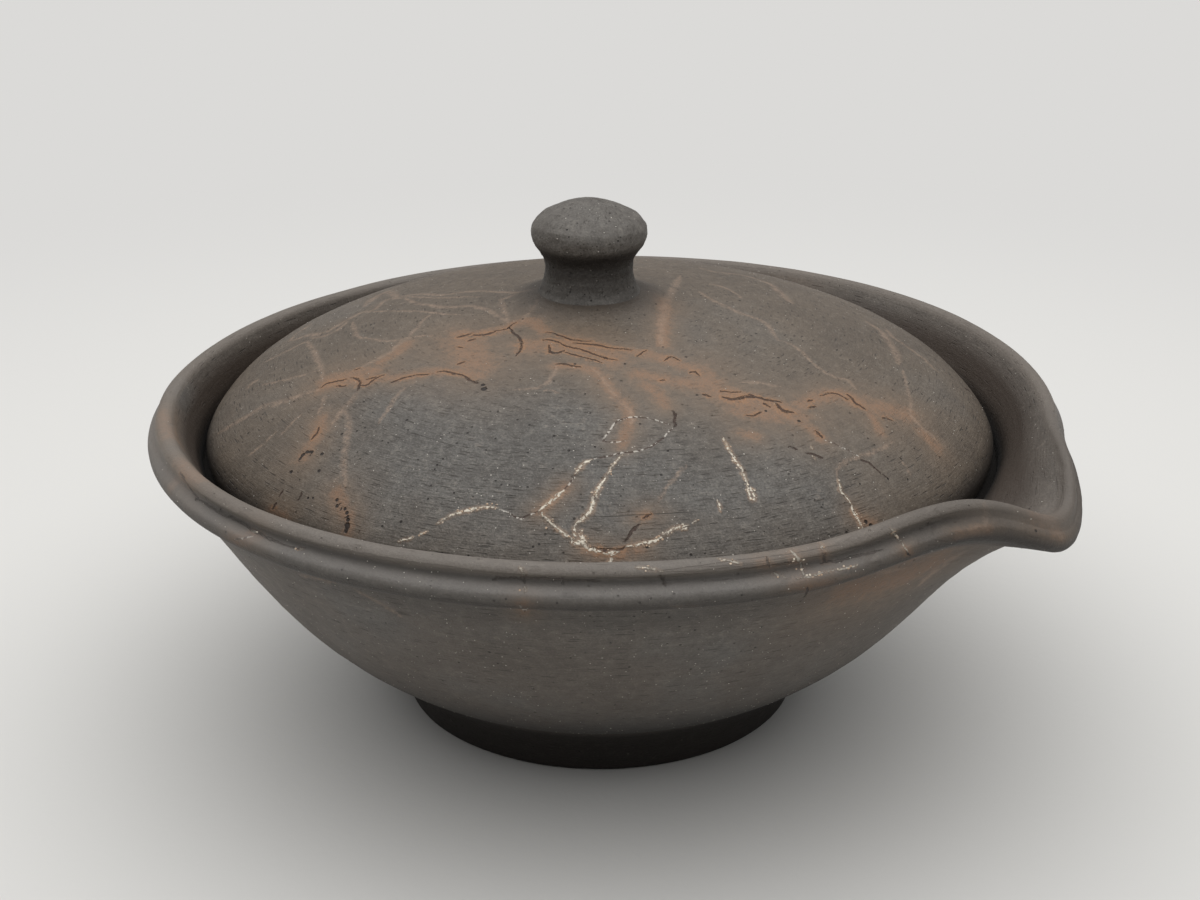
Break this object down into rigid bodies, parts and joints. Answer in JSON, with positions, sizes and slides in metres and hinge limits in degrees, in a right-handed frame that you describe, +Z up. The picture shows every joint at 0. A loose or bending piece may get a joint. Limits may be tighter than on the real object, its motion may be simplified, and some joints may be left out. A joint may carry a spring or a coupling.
{
  "type": "shiboridashi",
  "caption": "Unglazed dark clay tea bowl with no handle, a grooved rim pulled into a spout, and a domed lid with a round knob resting on a ledge inside.",
  "frame": {"origin": "middle of the footprint seen from above, on the table plane; the turning axis of bowl, foot and lid stands 5.4 mm behind it, at negative X", "axes": "+X towards the spout, +Y to the left seen from behind the spout, +Z up"},
  "size_m": [0.1238, 0.1206, 0.0683],
  "materials": {
    "bowl_clay": "matte unglazed dark grey-brown stoneware with fine pale grit",
    "foot_clay": "matte unglazed dark grey stoneware, trimmed",
    "lid_clay": "matte unglazed grey-brown stoneware with rust and pale fire marks",
    "knob_clay": "matte unglazed dark grey stoneware with fine pale grit"
  },
  "bodies": {
    "bowl": {"bowl": "bowl_clay", "foot_ring": "foot_clay"},
    "lid": {"lid": "lid_clay", "knob": "knob_clay"}
  },
  "joints": [
    {"name": "lid_lift", "type": "slide", "parent": "bowl", "child": "lid", "axis": [0, 0, 1], "range_m": [0, 0.06]}
  ]
}
